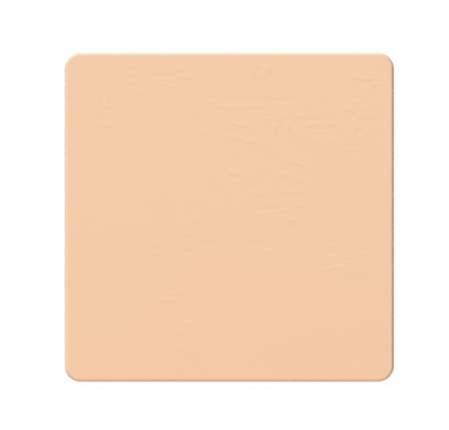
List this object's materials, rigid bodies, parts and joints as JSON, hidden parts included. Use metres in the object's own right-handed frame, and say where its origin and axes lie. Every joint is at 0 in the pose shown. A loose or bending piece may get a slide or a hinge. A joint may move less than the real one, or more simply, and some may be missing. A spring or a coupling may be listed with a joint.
{
  "type": "foam dressing",
  "caption": "Flat square foam wound dressing with rounded corners, an absorbent pad under a thin skin-coloured film that is rolled down over its rim.",
  "frame": {"origin": "middle of the wound face, which is the plane that the dressing lies on", "axes": "+Z up through the pad, out of the backing film; +X to the right and +Y up in the picture, along the pad's sides"},
  "size_m": [0.1, 0.1, 0.0045],
  "materials": {
    "backing_film": "satin",
    "foam": "matte"
  },
  "bodies": {
    "root": {"backing_film": "backing_film", "foam_pad": "foam"}
  },
  "joints": []
}
